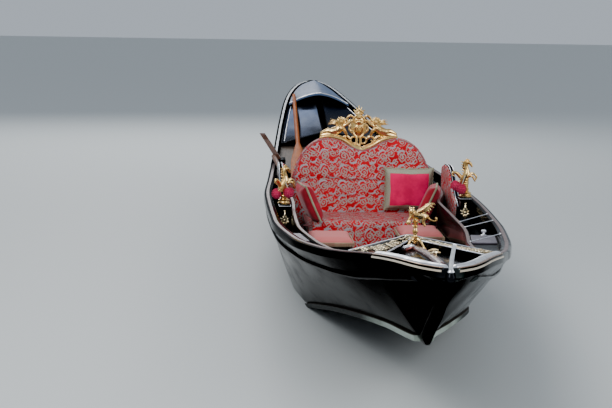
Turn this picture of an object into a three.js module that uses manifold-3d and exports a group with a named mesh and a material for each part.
// A venetian rowing boat, 10.8 m long, built as its maker builds it: a flat bottom with two planked
// sides that lean out to the rails, peaked decks at both ends, and the gilded and upholstered
// fittings of the passenger place. The port side is fuller than the starboard side.
// Millimetres. +X is port, -Y is the bow, +Z is up. The origin is on the flat bottom amidships.
import * as THREE from "three";
import { mergeVertices } from "three/addons/utils/BufferGeometryUtils.js";
import Module from "manifold-3d";

const wasm = await Module();
wasm.setup();

// Driving dimensions of the hull
const MIDSHIP = 5400;          // distance from the bow tip to the origin
const GAP = 0.3;               // clearance between pieces that touch
const SEAT = 3;                // clearance to the twisted inner faces of the planks
const BOTTOM_THICK = 28;
const PLANK_THICK = 20;
const PLANK_BULGE = 14;        // how far a side plank swells out at half height
const BOTTOM_PROUD = 14;       // how far the bottom stands out past the side planks
const RAIL_HIGH = 40;
const RAIL_OUT = 8;            // rail outside the plank's outer face
const RAIL_IN = 52;            // rail inside the plank's outer face
const DECK_THICK = 18;
const DECK_PITCH = 0.18;       // rise of a peaked deck for each unit of half breadth

// Rails: distance aft of the bow tip, port and starboard half breadths, height of the rail top
const RAIL_ROWS = [
  { s: 0, port: 60, star: 56, top: 1070 },
  { s: 250, port: 160, star: 130, top: 1054 },
  { s: 500, port: 232, star: 176, top: 1033 },
  { s: 1000, port: 360, star: 256, top: 975 },
  { s: 1500, port: 467, star: 340, top: 908 },
  { s: 2000, port: 570, star: 418, top: 850 },
  { s: 3000, port: 730, star: 530, top: 765 },
  { s: 4000, port: 835, star: 597, top: 725 },
  { s: 5400, port: 895, star: 607, top: 705 },
  { s: 6500, port: 860, star: 558, top: 714 },
  { s: 7500, port: 760, star: 503, top: 750 },
  { s: 8500, port: 616, star: 445, top: 848 },
  { s: 9300, port: 461, star: 388, top: 966 },
  { s: 10000, port: 284, star: 312, top: 1120 },
  { s: 10500, port: 133, star: 190, top: 1222 },
  { s: 10800, port: 14, star: 45, top: 1254 },
];

// Foot of the sides: up the stem, along the edge of the flat bottom, and up the sternpost
const FOOT_ROWS = [
  { s: 0, port: 30, star: 30, low: 1060 },
  { s: 280, port: 30, star: 30, low: 870 },
  { s: 550, port: 30, star: 30, low: 735 },
  { s: 850, port: 32, star: 32, low: 600 },
  { s: 1500, port: 190, star: 92, low: 530 },
  { s: 2300, port: 368, star: 165, low: 425 },
  { s: 3100, port: 515, star: 245, low: 310 },
  { s: 3900, port: 615, star: 318, low: 180 },
  { s: 4600, port: 672, star: 362, low: 62 },
  { s: 5200, port: 690, star: 382, low: 0 },
  { s: 7200, port: 640, star: 372, low: 0 },
  { s: 8000, port: 560, star: 336, low: 62 },
  { s: 8800, port: 440, star: 272, low: 192 },
  { s: 9500, port: 300, star: 192, low: 362 },
  { s: 10100, port: 140, star: 96, low: 552 },
  { s: 10450, port: 32, star: 32, low: 702 },
  { s: 10650, port: 30, star: 30, low: 862 },
  { s: 10800, port: 30, star: 30, low: 1100 },
];

// Stations where the planks, rails and decks are cut
const STATIONS = [
  150, 280, 410, 550, 700, 850, 1100, 1300, 1500, 1900, 2300, 2700, 3050, 3530, 3560, 3900, 4250, 4600,
  4950, 5200, 5700, 6200, 6700, 7200, 7600, 8000, 8400, 8800, 9150, 9500, 9800, 10100, 10280, 10450,
  10560, 10650, 10720,
];

// Lengthwise places, aft of the bow tip. A deck's sink is the depth of its edges below the rail tops
const BOW_DECK = { from: 151, to: 1460.7, sink: 45 };
const BOW_RIDGE = { from: 280, to: 1368, half: 17, high: 14 };
const BOW_COAMING = {
  from: 1461, to: 1487, wing: 880, front: 1440, plateTo: 1600, plateThick: 30, apex: 976, deep: 120,
};
const SIDE_DECK = { from: 1487.3, to: 7294.7 };
const DECK_COVER = { from: 3060, to: 3520, thick: 8 };
const INNER_RAIL_WIDE = 30;
const STERN_PLATFORM = { from: 7315.3, to: 8382.7, below: 46 };
const STERN_DECK = { from: 8410, to: 10700, sink: 28 };
const STERN_COAMING = { from: 8383, to: 8408, rise: 30, deep: 110 };
const STERN_CAP = { from: 9800, to: 10650, thick: 14, rise: [102, 20] };
const RUB = { from: 280, to: 10450, high: 22, out: 16, clear: 0.6 };
const FLOOR = { from: 1950, to: 7290, top: 128, thick: 18, over: 30, joint: 5540, bearers: [5250, 5900, 6550, 7100] };
const CENTRE = 150;             // the passenger place is centred between the unequal sides
const SEAT_BASE = { from: 5560, to: 6335, half: 450, top: 370 };
const SEAT_PAD = { from: 5545, to: 6335, half: 456, top: 500 };
const SOFA_BACK = { from: 6335.3, to: 6455, low: 330 };
const ARM = { from: 5450, to: 6330, reach: 603, thick: 46 };
const ARM_CUSHION = { s: 5640, x: 434, z: 639.7, long: 330, high: 290, thick: 85, tilt: 0.42, turn: 0.135 };
const THWART = { from: 6500, to: 6610, below: 58 };
const CREST = { from: 6375, to: 6425, x: 122 };
const STOOL = { from: { port: 4800, star: 4480 }, half: 148, deep: 390, top: 470, leg: 34, x: { port: 446, star: -190 } };
const PEDESTAL = { from: { port: 5240, star: 4990 }, inset: { port: 0, star: 22 }, deep: 110, wide: 78,
  over: { port: 24, star: -12 } };
const ORNAMENT_S = 1290;        // place of the tripod stand on the bow deck
const STEM_HEAD = { behind: 1018, top: 1052, step: 29 };
const SOCKET = { half: 100, inner: 400, lip: 8, below: 34, proud: 30 };
const FORCOLA = { s: 7430, x: -458, tenonDeep: 50, tenonLong: 110, tenonThick: 26, lean: 0.66, high: 0.84 };
const OAR = { top: 9960, tip: 6760, x: [-236, -290], r: 19 };
const POLE = { from: [-410, 6000], to: [-497, 7339], rise: 0.0728, r: 17 };

// Side decks: widths from the inner rail's inner face to the rail line, port and starboard, and depths
// below the rail top of the deck and of the inner rail's upper and lower edges
const SIDE_DECK_ROWS = [
  { s: 1500, port: 118, star: 104, below: 62, cap: 44, deep: 86 },
  { s: 2000, port: 170, star: 134, below: 58, cap: 30, deep: 120 },
  { s: 2700, port: 228, star: 160, below: 48, cap: 24, deep: 170 },
  { s: 3050, port: 244, star: 166, below: 42, cap: 24, deep: 175 },
  { s: 3530, port: 244, star: 170, below: 42, cap: 24, deep: 180 },
  { s: 3560, port: 244, star: 170, below: 120, cap: 24, deep: 180 },
  { s: 4600, port: 273, star: 184, below: 150, cap: 24, deep: 190 },
  { s: 5300, port: 290, star: 206, below: 172, cap: 24, deep: 200 },
  { s: 5900, port: 190, star: 190, below: 165, cap: 24, deep: 192 },
  { s: 6400, port: 145, star: 145, below: 120, cap: 24, deep: 144 },
  { s: 7400, port: 122, star: 122, below: 80, cap: 24, deep: 102 },
];

// Rub moulding: depth of its middle below the rail top
const RUB_ROWS = [
  { s: 150, below: 64 },
  { s: 700, below: 100 },
  { s: 1500, below: 122 },
  { s: 10000, below: 112 },
  { s: 10500, below: 80 },
];

const COLOURS = {
  lacquer: { color: 0x0b0c0f, roughness: 0.12, metalness: 0 },
  keelPaint: { color: 0x8d9c92, roughness: 0.6, metalness: 0 },
  polishedWood: { color: 0x6a5346, roughness: 0.3, metalness: 0 },
  walnut: { color: 0x3a2016, roughness: 0.4, metalness: 0 },
  oarWood: { color: 0xb9713c, roughness: 0.45, metalness: 0 },
  silver: { color: 0xc9ccd0, roughness: 0.25, metalness: 1 },
  gilt: { color: 0xd9a33c, roughness: 0.28, metalness: 1 },
  brocade: { color: 0xb44355, roughness: 0.8, metalness: 0 },
  crimson: { color: 0xc01f56, roughness: 0.85, metalness: 0 },
  salmon: { color: 0xd25a5c, roughness: 0.85, metalness: 0 },
  boards: { color: 0x3b2a22, roughness: 0.6, metalness: 0 },
  coverPaint: { color: 0x6d6a74, roughness: 0.35, metalness: 0 },
};

const boat = new THREE.Group();

function addPiece(name, geometry, finish) {
  const mesh = new THREE.Mesh(geometry, new THREE.MeshStandardMaterial(COLOURS[finish]));
  mesh.name = name;
  boat.add(mesh);
  return mesh;
}

// Monotone cubic through the rows of a table, so that no curve overshoots its rows
function slopes(rows, key) {
  const d = rows.slice(1).map((row, i) => (row[key] - rows[i][key]) / (row.s - rows[i].s));
  return rows.map((row, i) => {
    if (i === 0) return d[0];
    if (i === rows.length - 1) return d[i - 1];
    if (d[i - 1] * d[i] <= 0) return 0;
    return (2 * d[i - 1] * d[i]) / (d[i - 1] + d[i]);
  });
}

function reader(rows, key) {
  const m = slopes(rows, key);
  return (s) => {
    if (s <= rows[0].s) return rows[0][key];
    const last = rows.length - 1;
    if (s >= rows[last].s) return rows[last][key];
    const i = rows.findIndex((row, k) => k < last && s >= row.s && s < rows[k + 1].s);
    const h = rows[i + 1].s - rows[i].s;
    const t = (s - rows[i].s) / h;
    const a = (1 + 2 * t) * (1 - t) ** 2 * rows[i][key] + t ** 2 * (3 - 2 * t) * rows[i + 1][key];
    return a + h * (t * (1 - t) ** 2 * m[i] + t ** 2 * (t - 1) * m[i + 1]);
  };
}

// The same curve cut straight between the stations, where the lofted faces lie
function faceted(curve) {
  return (s) => {
    const i = STATIONS.findIndex((_, k) => s >= STATIONS[k] && s < STATIONS[k + 1]);
    if (i < 0) return curve(s);
    const t = (s - STATIONS[i]) / (STATIONS[i + 1] - STATIONS[i]);
    return THREE.MathUtils.lerp(curve(STATIONS[i]), curve(STATIONS[i + 1]), t);
  };
}

const SIDES = { port: 1, star: -1 };
const lineOf = (rows, key) => faceted(reader(rows, key));
const breadth = { port: lineOf(RAIL_ROWS, "port"), star: lineOf(RAIL_ROWS, "star") };
const railTop = lineOf(RAIL_ROWS, "top");
const foot = { port: lineOf(FOOT_ROWS, "port"), star: lineOf(FOOT_ROWS, "star") };
const hullLow = lineOf(FOOT_ROWS, "low");
const sideDeckWide = { port: lineOf(SIDE_DECK_ROWS, "port"), star: lineOf(SIDE_DECK_ROWS, "star") };
const sideDeckBelow = lineOf(SIDE_DECK_ROWS, "below");
const innerRailCap = lineOf(SIDE_DECK_ROWS, "cap");
const innerRailDeep = lineOf(SIDE_DECK_ROWS, "deep");
const rubBelow = lineOf(RUB_ROWS, "below");

const yAt = (s) => s - MIDSHIP;
const plankFoot = (s) => hullLow(s) + BOTTOM_THICK + GAP;
const plankHead = (s) => railTop(s) - RAIL_HIGH - GAP;
const stationsBetween = (from, to) => [from, ...STATIONS.filter((s) => s > from && s < to), to];

// Distance of a side's outer face from the centre line, at a height
function outerFace(side, s, z) {
  const t = THREE.MathUtils.clamp((z - plankFoot(s)) / (plankHead(s) - plankFoot(s)), 0, 1);
  const straight = THREE.MathUtils.lerp(foot[side](s), breadth[side](s), t);
  const fullness = Math.min(1, (plankHead(s) - plankFoot(s)) / 500);
  return straight + PLANK_BULGE * fullness * (1 - Math.abs(2 * t - 1));
}

const innerFace = (side, s, z) => Math.max(8, outerFace(side, s, z) - PLANK_THICK);

// A closed surface from triangles, turned so that its faces point out
function closedGeometry(points, triangles) {
  let volume = 0;
  for (const [a, b, c] of triangles) {
    const [p, q, r] = [points[a], points[b], points[c]];
    volume += p[0] * (q[1] * r[2] - q[2] * r[1]) - p[1] * (q[0] * r[2] - q[2] * r[0])
      + p[2] * (q[0] * r[1] - q[1] * r[0]);
  }
  const index = triangles.flatMap(([a, b, c]) => (volume < 0 ? [a, c, b] : [a, b, c]));
  const geometry = new THREE.BufferGeometry();
  geometry.setAttribute("position", new THREE.Float32BufferAttribute(points.flat(), 3));
  geometry.setIndex(index);
  return geometry;
}

// Skin through rings that have the same number of points, with both ends closed
function loft(rings) {
  const n = rings[0].length;
  const triangles = [];
  for (let k = 0; k < rings.length - 1; k++) {
    for (let i = 0; i < n; i++) {
      const j = (i + 1) % n;
      const [a, b, c, d] = [k * n + i, k * n + j, (k + 1) * n + j, (k + 1) * n + i];
      triangles.push([a, b, c], [a, c, d]);
    }
  }
  for (const k of [0, rings.length - 1]) {
    for (const [a, b, c] of capTriangles(rings[k])) {
      const face = [k * n + a, k * n + b, k * n + c];
      triangles.push(k === 0 ? [face[0], face[2], face[1]] : face);
    }
  }
  return closedGeometry(rings.flat(), triangles);
}

// Triangles over a flat ring, wound the way the ring runs
function capTriangles(ring) {
  const p = ring.map((v) => new THREE.Vector3(...v));
  const normal = new THREE.Vector3();
  p.forEach((v, i) => {
    const w = p[(i + 1) % p.length];
    normal.add(new THREE.Vector3().crossVectors(v, w));
  });
  const size = [Math.abs(normal.x), Math.abs(normal.y), Math.abs(normal.z)];
  const drop = size.indexOf(Math.max(...size));
  const flat = ring.map((v) => new THREE.Vector2(v[(drop + 1) % 3], v[(drop + 2) % 3]));
  const turned = THREE.ShapeUtils.area(flat) < 0;
  const order = flat.map((_, i) => (turned ? flat.length - 1 - i : i));
  const faces = THREE.ShapeUtils.triangulateShape(order.map((i) => flat[i]), []);
  return faces.map((f) => {
    const [a, b, c] = f.map((i) => order[i]);
    return turned ? [a, c, b] : [a, b, c];
  });
}

// An outline in X and Z, carried from one Y to another, and the like in Y and Z across X
const boardAcross = (outline, y0, y1) => loft([y0, y1].map((y) => outline.map(([x, z]) => [x, y, z])));
const boardAlong = (outline, x0, x1) => loft([x0, x1].map((x) => outline.map(([y, z]) => [x, y, z])));

// A closed mesh with shared corners and no flat faces of zero size
function tidy(geometry) {
  const g = geometry.clone();
  g.deleteAttribute("normal");
  g.deleteAttribute("uv");
  const merged = mergeVertices(g, 1e-4);
  const index = [];
  for (let i = 0; i < merged.index.count; i += 3) {
    const [a, b, c] = [0, 1, 2].map((k) => merged.index.getX(i + k));
    if (a !== b && b !== c && c !== a) index.push(a, b, c);
  }
  merged.setIndex(index);
  return merged;
}

function solidOf(geometry) {
  const g = tidy(geometry);
  return new wasm.Manifold(new wasm.Mesh({
    numProp: 3,
    vertProperties: new Float32Array(g.attributes.position.array),
    triVerts: new Uint32Array(g.index.array),
  }));
}

function geometryOf(solid) {
  const mesh = solid.getMesh();
  const geometry = new THREE.BufferGeometry();
  geometry.setAttribute("position", new THREE.BufferAttribute(new Float32Array(mesh.vertProperties), 3));
  geometry.setIndex(new THREE.BufferAttribute(new Uint32Array(mesh.triVerts), 1));
  return geometry;
}

function joined(...geometries) {
  const solids = geometries.map(solidOf);
  return geometryOf(solids.slice(1).reduce((sum, next) => sum.add(next), solids[0]));
}

const moved = (geometry, x, y, z) => geometry.clone().translate(x, y, z);
const box = (x0, x1, y0, y1, z0, z1) =>
  new THREE.BoxGeometry(x1 - x0, y1 - y0, z1 - z0).translate((x0 + x1) / 2, (y0 + y1) / 2, (z0 + z1) / 2);
const ball = (r, x, y, z, sx = 1, sy = 1, sz = 1) =>
  new THREE.SphereGeometry(r, 12, 8).scale(sx, sy, sz).translate(x, y, z);

// A turned piece standing on Z, from radius and height pairs
function turned(profile, sides = 16) {
  const points = profile.map(([r, z]) => new THREE.Vector2(r, z));
  return new THREE.LatheGeometry(points, sides).rotateX(Math.PI / 2);
}

// A round limb along a smooth path, its radius read between the given ones
function limb(path, radii, steps = 10, sides = 8) {
  const curve = new THREE.CatmullRomCurve3(path.map((p) => new THREE.Vector3(...p)));
  const frames = curve.computeFrenetFrames(steps);
  const rings = [];
  for (let k = 0; k <= steps; k++) {
    const at = curve.getPoint(k / steps);
    const u = (k / steps) * (radii.length - 1);
    const i = Math.min(Math.floor(u), radii.length - 2);
    const r = THREE.MathUtils.lerp(radii[i], radii[i + 1], u - i);
    const ring = [];
    for (let a = 0; a < sides; a++) {
      const angle = (a / sides) * 2 * Math.PI;
      const p = at.clone()
        .addScaledVector(frames.normals[k], r * Math.cos(angle))
        .addScaledVector(frames.binormals[k], r * Math.sin(angle));
      ring.push([p.x, p.y, p.z]);
    }
    rings.push(ring);
  }
  return loft(rings);
}

// Hull shell. The band of the rub moulding is marked out on the plank, so that the moulding lies on it
function rubBand(s) {
  const [mid, high] = [(plankFoot(s) + plankHead(s)) / 2, plankHead(s)];
  const lower = Math.max(mid + 2, railTop(s) - rubBelow(s) - RUB.high / 2);
  return [lower, Math.min(high - 2, lower + RUB.high)];
}

function sidePlank(side) {
  const k = SIDES[side];
  return loft(stationsBetween(150, 10720).map((s) => {
    const [low, high] = [plankFoot(s), plankHead(s)];
    const mid = (low + high) / 2;
    const outside = [low, mid, ...rubBand(s), high].map((z) => [outerFace(side, s, z), z]);
    const inside = [high, mid, low].map((z) => [innerFace(side, s, z), z]);
    return [...outside, ...inside].map(([x, z]) => [k * x, yAt(s), z]);
  }));
}

function hullBottom() {
  return loft(stationsBetween(850.3, 10450).map((s) => {
    const [star, port] = [-(foot.star(s) + BOTTOM_PROUD), foot.port(s) + BOTTOM_PROUD];
    const [low, high] = [hullLow(s), hullLow(s) + BOTTOM_THICK];
    return [[star, low], [port, low], [port, high], [star, high]].map(([x, z]) => [x, yAt(s), z]);
  }));
}

// Stem and sternpost are sawn timbers that the plank feet land on
function stem() {
  const seat = [150, 280, 410, 550, 700, 850].map((s) => [yAt(s), plankFoot(s) - 2 * GAP]);
  const nose = [850, 700, 550, 410, 280, 120, 20].map((s) => [
    yAt(s) - 22 * Math.min(1, (850 - s) / 150), hullLow(s) - 38 * Math.min(1, (850 - s) / 150),
  ]);
  const { behind, top, step } = STEM_HEAD;
  const head = [[-32, top], [step, top], [step, behind], [148, behind]].map(([s, z]) => [yAt(s), z]);
  return boardAlong([...seat, ...nose, ...head], -26, 26);
}

function sternpost() {
  const seat = [10720, 10650, 10560, 10450].map((s) => [yAt(s), plankFoot(s) - 2 * GAP]);
  const heel = [10450.3, 10560, 10650, 10720].map((s) => [
    yAt(s) + 40 * Math.min(1, (s - 10450) / 110), hullLow(s) - 16 * Math.min(1, (s - 10450) / 110),
  ]);
  return boardAlong([...seat, ...heel, [yAt(10800), 1190], [yAt(10740), 1190]], -26, 26);
}

function rail(side) {
  const k = SIDES[side];
  return loft(stationsBetween(30, 10790).map((s) => {
    const out = breadth[side](s) + RAIL_OUT;
    const inside = Math.max(3, breadth[side](s) - RAIL_IN);
    const [low, high] = [railTop(s) - RAIL_HIGH, railTop(s)];
    return [[out, low], [out, high - 8], [out - 10, high], [inside + 8, high], [inside, high - 8], [inside, low]]
      .map(([x, z]) => [k * x, yAt(s), z]);
  }));
}

// A half-round metal strip along the inner edge of a rail's top
function railStrip(side, from, to) {
  const k = SIDES[side];
  return loft(stationsBetween(from, to).map((s) => {
    const inside = Math.max(14, breadth[side](s) - RAIL_IN + 9);
    const z = railTop(s) + GAP;
    return [[inside, z], [inside + 24, z], [inside + 20, z + 8], [inside + 12, z + 11], [inside + 4, z + 8]]
      .map(([x, h]) => [k * x, yAt(s), h]);
  }));
}

// A moulding along the outside of the planks, a little below the rail
function rubMoulding(side) {
  const k = SIDES[side];
  return loft(stationsBetween(RUB.from, RUB.to).map((s) => {
    const [low, high] = rubBand(s);
    const face = (z) => outerFace(side, s, z) + RUB.clear;
    return [[face(low), low], [face(high), high], [face(high) + RUB.out, high - 5], [face(low) + RUB.out, low + 5]]
      .map(([x, z]) => [k * x, yAt(s), z]);
  }));
}

// Peaked decks, closed by a board across the boat
const deckEdge = (side, s) => Math.max(4, breadth[side](s) - RAIL_IN - GAP);
const deckRise = (s) => DECK_PITCH * (breadth.port(s) + breadth.star(s)) / 2;
const deckRidge = ({ sink }, s) => railTop(s) - sink + deckRise(s);

function peakedDeck(deck) {
  return loft(stationsBetween(deck.from, deck.to).map((s) => {
    const [edge, ridge] = [railTop(s) - deck.sink, deckRidge(deck, s)];
    const clear = (side, z) => Math.min(deckEdge(side, s), innerFace(side, s, z) - SEAT);
    const [low, high] = [edge - DECK_THICK, edge];
    return [
      [-clear("star", low), low], [0, ridge - DECK_THICK], [clear("port", low), low],
      [clear("port", high), high], [0, ridge], [-clear("star", high), high],
    ].map(([x, z]) => [x, yAt(s), z]);
  }));
}

function deckRidgeCap(deck, from, to, half, high) {
  return loft(stationsBetween(from, to).map((s) => {
    const [star, port] = ["star", "port"].map((side) => (deckRise(s) * half) / deckEdge(side, s));
    const z = deckRidge(deck, s) + GAP;
    return [[-half, z - star + SEAT], [0, z], [half, z - port + SEAT], [half * 0.7, z + high], [-half * 0.7, z + high]]
      .map(([x, h]) => [x, yAt(s), h]);
  }));
}

// A board that closes a deck's end, its top edge at the given heights at the sides and in the middle
function peakedBoard({ from, to, deep }, edgeTop, ridgeTop) {
  const reach = (side) => Math.min(deckEdge(side, from), deckEdge(side, to));
  const [star, port] = [-reach("star"), reach("port")];
  const shoulder = Math.min(railTop(from), railTop(to)) - RAIL_HIGH - 2;
  const low = shoulder - deep;
  const inside = (side, z) => Math.min(innerFace(side, from, z), innerFace(side, to, z)) - SEAT;
  return boardAcross([
    [-inside("star", low), low], [0, ridgeTop - deep - 60], [inside("port", low), low], [port, shoulder],
    [port, edgeTop], [0, ridgeTop], [star, edgeTop], [star, shoulder],
  ], yAt(from), yAt(to));
}

// The broad peaked plate that ends the bow deck, on its board. Its front edge sweeps forward to the rails
function coamingWing(side) {
  const { wing, front, plateThick, apex } = BOW_COAMING;
  const k = SIDES[side];
  return loft(stationsBetween(wing + 4, front + 1).map((s) => {
    const near = Math.min(1, (s - wing) / (front - wing));
    const inside = deckEdge(side, wing) * (1 - near);
    const high = THREE.MathUtils.lerp(railTop(wing) - 4, apex, near);
    const [outside, edge] = [deckEdge(side, s), railTop(s) - 4];
    return [[inside, high - plateThick], [outside, edge - plateThick], [outside, edge], [inside, high]]
      .map(([x, z]) => [k * x, yAt(s), z]);
  }));
}

function bowCoaming() {
  const { from, front, plateTo, plateThick, apex } = BOW_COAMING;
  const plate = loft(stationsBetween(front, plateTo).map((s) => {
    const [star, port] = [-deckEdge("star", s), deckEdge("port", s)];
    const edge = railTop(s) - 4;
    return [
      [star, edge - plateThick], [0, apex - plateThick], [port, edge - plateThick],
      [port, edge], [0, apex], [star, edge],
    ].map(([x, z]) => [x, yAt(s), z]);
  }));
  const board = peakedBoard(BOW_COAMING, railTop(from) - 16, apex - 12);
  return joined(plate, coamingWing("port"), coamingWing("star"), board);
}

// The arched cap over the last of the stern deck
const capEdge = (s) => railTop(s) - 2;
const capApex = (s) => capEdge(s)
  + THREE.MathUtils.mapLinear(s, STERN_CAP.from, STERN_CAP.to, ...STERN_CAP.rise);
const capHeight = (x, s) => capApex(s)
  - (capApex(s) - capEdge(s)) * Math.abs(x) / deckEdge(x < 0 ? "star" : "port", s);

function sternCap() {
  return loft(stationsBetween(STERN_CAP.from, STERN_CAP.to).map((s) => {
    const [star, port] = [-deckEdge("star", s), deckEdge("port", s)];
    const under = (x) => capHeight(x, s) - STERN_CAP.thick;
    return [
      [star, under(star)], [0, under(0)], [port, under(port)], [port, capEdge(s)], [0, capApex(s)], [star, capEdge(s)],
    ].map(([x, z]) => [x, yAt(s), z]);
  }));
}

// Side decks with the raised inner rail that frames the passenger place
const sideDeckTop = (s) => railTop(s) - sideDeckBelow(s);
const innerRailX = (side, s) => breadth[side](s) - sideDeckWide[side](s);

function sideDeck(side) {
  const k = SIDES[side];
  return loft(stationsBetween(SIDE_DECK.from, SIDE_DECK.to).map((s) => {
    const high = sideDeckTop(s);
    const low = high - DECK_THICK;
    const inside = innerRailX(side, s) + INNER_RAIL_WIDE + GAP;
    return [
      [inside, low], [innerFace(side, s, low) - SEAT, low], [innerFace(side, s, high) - SEAT, high], [inside, high],
    ].map(([x, z]) => [k * x, yAt(s), z]);
  }));
}

function innerRail(side) {
  const k = SIDES[side];
  return loft(stationsBetween(SIDE_DECK.from, SIDE_DECK.to).map((s) => {
    const x = innerRailX(side, s);
    const [low, high] = [railTop(s) - innerRailDeep(s), railTop(s) - innerRailCap(s)];
    return [[x, low], [x + INNER_RAIL_WIDE, low], [x + INNER_RAIL_WIDE, high], [x, high]]
      .map(([px, z]) => [k * px, yAt(s), z]);
  }));
}

// A flat board laid on the raised part of each side deck
function deckCover(side) {
  const k = SIDES[side];
  return loft([DECK_COVER.from, DECK_COVER.to].map((s) => {
    const low = sideDeckTop(s) + GAP;
    const inside = innerRailX(side, s) + INNER_RAIL_WIDE + 6;
    const outside = Math.min(innerFace(side, s, low), breadth[side](s) - RAIL_IN) - 8;
    return [[inside, low], [outside, low], [outside, low + DECK_COVER.thick], [inside, low + DECK_COVER.thick]]
      .map(([x, z]) => [k * x, yAt(s), z]);
  }));
}

// Floor boards, cut in front of the sofa, on bearers that stand on the flat of the bottom
const floorTop = faceted((s) => Math.max(FLOOR.top, hullLow(s) + BOTTOM_THICK + FLOOR.over));

function floorBoards() {
  const before = stationsBetween(FLOOR.from, FLOOR.joint);
  const behind = stationsBetween(FLOOR.joint, FLOOR.to).slice(1);
  const boards = loft([...before, ...behind].map((s) => {
    const high = floorTop(s);
    const low = high - FLOOR.thick;
    const [star, port] = ["star", "port"].map((side) => innerFace(side, s, low) - SEAT);
    return [[-star, low], [port, low], [port, high], [-star, high]].map(([x, z]) => [x, yAt(s), z]);
  }));
  const bearers = FLOOR.bearers.map((s) => box(-300, 560, yAt(s), yAt(s + 60), BOTTOM_THICK + GAP, FLOOR.top - 5));
  return joined(boards, ...bearers);
}

// A flat deck between the rails, on which the rower stands
function sternPlatform() {
  return loft(stationsBetween(STERN_PLATFORM.from, STERN_PLATFORM.to).map((s) => {
    const high = railTop(s) - STERN_PLATFORM.below;
    const low = high - DECK_THICK;
    const [star, port] = ["star", "port"].map((side) => innerFace(side, s, low) - SEAT);
    return [[-star, low], [port, low], [port, high], [-star, high]].map(([x, z]) => [x, yAt(s), z]);
  }));
}

// A bulkhead below a deck's end, down to the bottom planks
function bulkhead(from, thick, highAt) {
  const low = Math.max(hullLow(from), hullLow(from + thick)) + BOTTOM_THICK + 2;
  const mid = (low + highAt) / 2;
  const xs = (side, z) => Math.min(innerFace(side, from, z), innerFace(side, from + thick, z)) - SEAT;
  return boardAcross([
    [-xs("star", low), low], [xs("port", low), low], [xs("port", mid), mid], [xs("port", highAt), highAt],
    [-xs("star", highAt), highAt], [-xs("star", mid), mid],
  ], yAt(from), yAt(from + thick));
}

// Top edge of the stern coaming, from the middle (0) to its ends (1)
const sternCoamingTop = (reach) => deckRidge(STERN_DECK, STERN_COAMING.from) + STERN_COAMING.rise
  - (deckRise(STERN_COAMING.from) + 12) * reach;

// The block that holds the rowlock is let into the starboard rail, inside a thin outer lip
const socketOuter = (s) => breadth.star(s) + RAIL_OUT - SOCKET.lip;
const socketTop = railTop(FORCOLA.s) + SOCKET.proud;

function socketBlock(spare) {
  const { half, inner, below } = SOCKET;
  return loft(stationsBetween(FORCOLA.s - half - spare, FORCOLA.s + half + spare).map((s) => {
    const [x0, x1] = [-socketOuter(s) - spare, -inner + spare];
    const [low, high] = [railTop(s) - below - spare, socketTop + spare];
    return [[x0, low], [x1, low], [x1, high], [x0, high]].map(([x, z]) => [x, yAt(s), z]);
  }));
}

const notched = (geometry) => geometryOf(solidOf(geometry).subtract(solidOf(socketBlock(GAP))));

const sideNames = { port: "port", star: "starboard" };
const BOW_STRIP = { from: 170, to: 880 };
addPiece("hull_bottom", hullBottom(), "keelPaint");
addPiece("stem", stem(), "lacquer");
addPiece("sternpost", sternpost(), "lacquer");
for (const side of Object.keys(SIDES)) {
  const name = sideNames[side];
  addPiece(`side_${name}`, sidePlank(side), "lacquer");
  addPiece(`rail_${name}`, side === "star" ? notched(rail(side)) : rail(side), "lacquer");
  addPiece(`rub_${name}`, rubMoulding(side), "lacquer");
  addPiece(`bow_strip_${name}`, railStrip(side, BOW_STRIP.from, BOW_STRIP.to), "silver");
  addPiece(`side_deck_${name}`, sideDeck(side), "lacquer");
  addPiece(`deck_cover_${name}`, deckCover(side), "coverPaint");
  addPiece(`inner_rail_${name}`, innerRail(side), "lacquer");
}
addPiece("bow_deck", peakedDeck(BOW_DECK), "lacquer");
const { from: ridgeFrom, to: ridgeTo, half: ridgeHalf, high: ridgeHigh } = BOW_RIDGE;
addPiece("bow_ridge", deckRidgeCap(BOW_DECK, ridgeFrom, ridgeTo, ridgeHalf, ridgeHigh), "walnut");
addPiece("bow_coaming", bowCoaming(), "lacquer");
addPiece("floor_boards", floorBoards(), "boards");
addPiece("stern_platform", sternPlatform(), "boards");
addPiece("stern_deck", peakedDeck(STERN_DECK), "lacquer");
addPiece("stern_ridge", deckRidgeCap(STERN_DECK, STERN_DECK.from, STERN_CAP.from - 1, 34, 26), "lacquer");
addPiece("stern_cap", sternCap(), "lacquer");
addPiece("stern_coaming", peakedBoard(STERN_COAMING, sternCoamingTop(1), sternCoamingTop(0)), "lacquer");
addPiece("stern_bulkhead", bulkhead(7295, 20, sideDeckTop(7295) + 40), "lacquer");

// Passenger place: seat, padded back with its carved crest, and the arms
const backHalf = new THREE.CatmullRomCurve3([
  [0, 950], [70, 974], [165, 1026], [265, 1046], [365, 1018], [452, 940], [512, 820], [540, 690], [548, 590], [546, 450],
].map(([x, z]) => new THREE.Vector3(x, z, 0)));
const backPoints = backHalf.getPoints(22);
const backOutline = [
  [530, SOFA_BACK.low],
  ...[...backPoints].reverse().map((p) => [p.x, p.y]),
  ...backPoints.slice(1).map((p) => [-p.x, p.y]),
  [-530, SOFA_BACK.low],
].map(([x, z]) => [x + CENTRE, z]);

// A cushion lying flat about its centre, its corners and edges rounded off
function pad(wide, deep, high, soft = 30) {
  const ring = (inset, z) => {
    const [x, y] = [wide / 2 - inset, deep / 2 - inset];
    return [
      [-x + soft, -y], [x - soft, -y], [x, -y + soft], [x, y - soft],
      [x - soft, y], [-x + soft, y], [-x, y - soft], [-x, -y + soft],
    ].map(([px, py]) => [px, py, z]);
  };
  return loft([ring(high * 0.2, -high / 2), ring(0, -high * 0.2), ring(0, high * 0.15),
    ring(high * 0.16, high * 0.38), ring(high * 0.42, high / 2)]);
}

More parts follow.
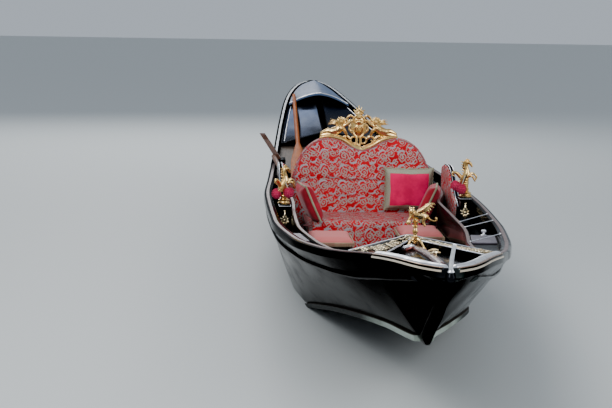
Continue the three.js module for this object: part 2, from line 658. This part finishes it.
const padOn = (x0, x1, s0, s1, z0, z1) =>
  moved(pad(x1 - x0, s1 - s0, z1 - z0), (x0 + x1) / 2, yAt((s0 + s1) / 2), (z0 + z1) / 2);

// The carved crest follows the top of the back, a little to starboard of its middle
const CREST_HALF = [
  [0, 1292], [28, 1286], [42, 1258], [36, 1220], [62, 1200], [104, 1190], [132, 1200], [156, 1184],
  [176, 1160], [208, 1182], [244, 1196], [264, 1172], [252, 1126], [272, 1092], [296, 1068],
];

function crest() {
  const top = [...CREST_HALF.map(([x, z]) => [-x, z]).reverse(), ...CREST_HALF.slice(1)]
    .map(([x, z]) => [x + CREST.x, z]);
  const [left, right] = [top[0][0], top.at(-1)[0]];
  const under = backOutline.filter(([x, z]) => z > 700 && x > left + 4 && x < right - 4)
    .map(([x, z]) => [x, z + GAP]).sort((a, b) => b[0] - a[0]);
  return boardAcross([...top, ...under], yAt(CREST.from), yAt(CREST.to));
}

// An arm stands on the side deck beside the seat, and falls in a curve towards the bow
function armPanel(side) {
  const { from, to, reach, thick } = ARM;
  const floor = stationsBetween(from, to).map((s) => [s, sideDeckTop(s) + GAP]);
  const curve = new THREE.CatmullRomCurve3([
    [6330, 838], [6200, 866], [6040, 872], [5880, 846], [5740, 768], [5600, 690], [5500, 664], [5450, 640],
  ].map(([s, z]) => new THREE.Vector3(s, z, 0))).getPoints(16).map((p) => [p.x, p.y]);
  const x = CENTRE + SIDES[side] * (reach + thick / 2);
  return boardAlong([...floor, ...curve].map(([s, z]) => [yAt(s), z]), x - thick / 2, x + thick / 2);
}

// A cushion stood on its edge against the arm
function armCushion(side) {
  const { s, x, z, long, high, thick, tilt, turn } = ARM_CUSHION;
  const k = SIDES[side];
  const leaning = pad(high, long, thick, 26).rotateY(-k * (Math.PI / 2 - tilt)).rotateZ(-k * turn);
  return moved(leaning, CENTRE + k * x, yAt(s), z);
}

addPiece("sofa_base", box(CENTRE - SEAT_BASE.half, CENTRE + SEAT_BASE.half, yAt(SEAT_BASE.from), yAt(SEAT_BASE.to),
  FLOOR.top + GAP, SEAT_BASE.top), "lacquer");
addPiece("sofa_seat", padOn(CENTRE - SEAT_PAD.half, CENTRE + SEAT_PAD.half, SEAT_PAD.from, SEAT_PAD.to,
  SEAT_BASE.top + GAP, SEAT_PAD.top), "brocade");
addPiece("sofa_back", boardAcross(backOutline, yAt(SOFA_BACK.from), yAt(SOFA_BACK.to)), "brocade");
addPiece("sofa_crest", crest(), "gilt");
for (const side of Object.keys(SIDES)) {
  addPiece(`sofa_arm_${sideNames[side]}`, armPanel(side), "lacquer");
  addPiece(`cushion_arm_${sideNames[side]}`, armCushion(side), "crimson");
}
addPiece("cushion_square", moved(pad(380, 330, 100).rotateX(Math.PI / 2), 505, yAt(6280), 665.6), "crimson");

function stoolFrame(x, from) {
  const [x0, x1] = [x - STOOL.half, x + STOOL.half];
  const [y0, y1] = [yAt(from), yAt(from + STOOL.deep)];
  const leg = STOOL.leg;
  const legs = [from, from + STOOL.deep - leg].flatMap((s) => [x0, x1 - leg].map((x2) => (
    box(x2, x2 + leg, yAt(s), yAt(s + leg), Math.max(floorTop(s), floorTop(s + leg)) + GAP, STOOL.top - 20))));
  return joined(box(x0, x1, y0, y1, STOOL.top - 62, STOOL.top), ...legs);
}

for (const side of Object.keys(SIDES)) {
  const name = sideNames[side];
  const [x, from] = [STOOL.x[side], STOOL.from[side]];
  addPiece(`stool_${name}`, stoolFrame(x, from), "lacquer");
  addPiece(`stool_cushion_${name}`, padOn(x - STOOL.half, x + STOOL.half, from, from + STOOL.deep,
    STOOL.top + GAP, STOOL.top + 72), "salmon");
}

// Black pedestals on the side decks, each with a gilded prancing creature
function pedestalPlace(side) {
  const ends = [PEDESTAL.from[side], PEDESTAL.from[side] + PEDESTAL.deep];
  const low = Math.max(...ends.map(sideDeckTop)) + GAP;
  const clear = ends.map((s) => Math.min(innerFace(side, s, low) - SEAT, breadth[side](s) - RAIL_IN - GAP));
  return { ends, outer: Math.min(...clear) - PEDESTAL.inset[side], low, high: railTop(ends[0]) + PEDESTAL.over[side] };
}

function pedestal(side) {
  const { ends, outer, low, high } = pedestalPlace(side);
  const inner = outer - PEDESTAL.wide;
  const [x0, x1] = side === "port" ? [inner, outer] : [-outer, -inner];
  return box(x0, x1, yAt(ends[0]), yAt(ends[1]), low, high);
}

function creature(side) {
  const k = SIDES[side];
  const { ends, outer, high } = pedestalPlace(side);
  const [x, y] = [k * (outer - PEDESTAL.wide / 2 + 6), yAt((ends[0] + ends[1]) / 2)];
  const base = turned([[0, 0], [44, 0], [44, 14], [30, 22], [24, 46], [34, 58], [0, 62]]);
  const body = limb([[0, 0, 55], [0, 14, 105], [-6 * k, -10, 160], [4 * k, -4, 205], [0, -16, 250]],
    [26, 34, 24, 20, 22], 12);
  const head = ball(22, 4 * k, -26, 256, 0.8, 1.5, 1);
  const legs = [-1, 1].map((d) => limb([[12 * d, -20, 165], [40 * d, -44, 176], [52 * d, -60, 148]], [12, 9, 7], 6, 6));
  const fins = [-1, 1].map((d) => limb([[10 * d, 10, 120], [48 * d, 26, 128], [70 * d, 30, 100]], [14, 10, 4], 6, 6));
  return moved(joined(moved(base, 0, 0, 0), body, head, ...legs, ...fins), x, y, high + GAP);
}

for (const side of Object.keys(SIDES)) {
  addPiece(`pedestal_${sideNames[side]}`, pedestal(side), "lacquer");
  addPiece(`side_figure_${sideNames[side]}`, creature(side), "gilt");
}

// Tripod stand on the bow deck with a winged creature, and the post on the stem head
function deckHeight(x, s) {
  const side = x < 0 ? "star" : "port";
  return deckRidge(BOW_DECK, s) - deckRise(s) * Math.abs(x) / deckEdge(side, s);
}

function standAndCreature() {
  const s = ORNAMENT_S;
  const top = deckRidge(BOW_DECK, s) + 14;
  const footOn = (x, ds) => limb([
    [0, 0, top + 30], [x * 0.6, ds * 0.6, top + 18], [x, ds, deckHeight(x, s + ds) + 5.3],
  ], [7, 6, 7], 6, 8);
  const hub = moved(turned([
    [0, 0], [9, 0], [13, 8], [10, 22], [17, 30], [10, 40], [15, 62], [9, 72], [14, 90], [8, 100], [17, 106], [0, 110],
  ]), 0, 0, top + 6);
  return moved(joined(hub, footOn(-44, -34), footOn(44, -34), footOn(30, 46)), 0, yAt(s), 0);
}

function wingedCreature() {
  const z = deckRidge(BOW_DECK, ORNAMENT_S) + 14 + 6 + 110;
  const body = limb([[-34, -10, 34], [0, 0, 26], [40, 6, 30], [70, 8, 20]], [16, 26, 24, 14], 10);
  const chest = limb([[0, 0, 0], [0, 0, 30]], [14, 18], 3);
  const neck = limb([[-26, -8, 36], [-36, -12, 70], [-26, -18, 92]], [18, 13, 14], 6);
  const head = ball(17, -26, -22, 100, 1, 1.25, 1);
  const wing = (d) => limb([[0, 10 * d, 40], [30, 22 * d, 78], [80, 30 * d, 108], [92, 30 * d, 96]], [16, 16, 9, 3], 8, 6);
  const tail = limb([[64, 8, 22], [98, 8, 20], [112, 8, 44], [98, 8, 58]], [13, 8, 7, 8], 8, 6);
  const orb = ball(15, -52, -14, 22);
  const paw = limb([[-20, -4, 30], [-50, -12, 30]], [9, 8], 3, 6);
  const whole = joined(body, chest, neck, head, wing(1), wing(-1), tail, orb, paw).scale(0.78, 0.78, 0.78);
  return moved(whole, 0, yAt(ORNAMENT_S), z + GAP);
}

addPiece("bow_stand", standAndCreature(), "gilt");
addPiece("bow_creature", wingedCreature(), "gilt");
addPiece("bow_post", moved(limb([[0, -4, 0.6], [0, -5, 30], [2, -20, 74], [5, -48, 120]], [13, 11, 10, 8], 8),
  0, -MIDSHIP, STEM_HEAD.top), "silver");

// Rowlock in its socket, the oar and a pole
function forcolaSocket() {
  const { s, x, tenonDeep, tenonLong, tenonThick } = FORCOLA;
  const [long, thick] = [tenonLong / 2 + 1, tenonThick / 2 + 1];
  const slot = box(x - thick, x + thick, yAt(s) - long, yAt(s) + long, socketTop - tenonDeep - GAP, socketTop + 10);
  return geometryOf(solidOf(socketBlock(0)).subtract(solidOf(slot)));
}

function forcola() {
  const { s, x, tenonDeep, tenonLong, tenonThick, lean, high } = FORCOLA;
  const tenon = box(x - tenonThick / 2, x + tenonThick / 2, yAt(s) - tenonLong / 2, yAt(s) + tenonLong / 2,
    socketTop - tenonDeep, socketTop + 20);
  const outline = [
    [-78, 5], [78, 5], [84, 40], [66, 90], [74, 130], [60, 168], [28, 176], [22, 150], [36, 128], [14, 104],
    [-6, 128], [0, 176], [-8, 228], [-44, 250], [-66, 232], [-58, 190], [-72, 120], [-84, 50],
  ];
  const blade = boardAlong(outline.map(([y, z]) => [yAt(s) + y, socketTop + z * high]), -22, 22);
  const at = blade.attributes.position;
  for (let i = 0; i < at.count; i++) at.setX(i, x + at.getX(i) - lean * Math.max(0, at.getZ(i) - socketTop - 4));
  return joined(tenon, blade);
}

addPiece("forcola_socket", forcolaSocket(), "lacquer");
addPiece("forcola", forcola(), "walnut");

// The oar lies on the stern coaming and on the cap over the stern, its blade towards the sofa
function straightOar() {
  const { top, tip, x, r } = OAR;
  const xAt = (s) => THREE.MathUtils.mapLinear(s, top, tip, ...x);
  const onCoaming = STERN_COAMING.from;
  const reach = Math.abs(xAt(onCoaming)) / deckEdge("star", onCoaming);
  const [z0, z1] = [sternCoamingTop(reach) + r + 1, capHeight(xAt(top), top) + r + 3];
  const zAt = (s) => THREE.MathUtils.mapLinear(s, onCoaming, top, z0, z1);
  const at = (s) => [xAt(s), yAt(s), zAt(s)];
  const shaft = limb([at(top), at(9000), at(8100)], [r - 3, r, r], 10, 10);
  const blade = loft([[8140, 17, 15], [7850, 46, 13], [7500, 72, 10], [7100, 78, 8], [tip, 72, 7]].map(([s, w, h]) => (
    [[-w, -h * 0.4], [0, -h], [w, -h * 0.4], [w, h * 0.4], [0, h], [-w, h * 0.4]]
      .map(([dx, dz]) => [xAt(s) + dx, yAt(s), zAt(s) + dz]))));
  return joined(shaft, blade);
}
addPiece("oar", straightOar(), "oarWood");

// A thwart behind the sofa
function thwart() {
  const [s0, s1] = [THWART.from, THWART.to];
  const high = railTop(s0) - THWART.below;
  const inside = (side) => Math.min(innerRailX(side, s0), innerRailX(side, s1)) - GAP;
  return box(-inside("star"), inside("port"), yAt(s0), yAt(s1), high - 34, high);
}
addPiece("thwart", thwart(), "polishedWood");

// The pole lies on the starboard inner rail, and rises towards the rowlock
function laidPole() {
  const { from, to, rise, r } = POLE;
  const foot0 = railTop(from[1]) - innerRailCap(from[1]) + r - 0.6;
  const at = (x, s) => [x, yAt(s), foot0 + (s - from[1]) * rise];
  return limb([at(...from), at(...to)], [r, r + 1, r + 2], 8, 10);
}
addPiece("pole", laidPole(), "oarWood");

export default boat;
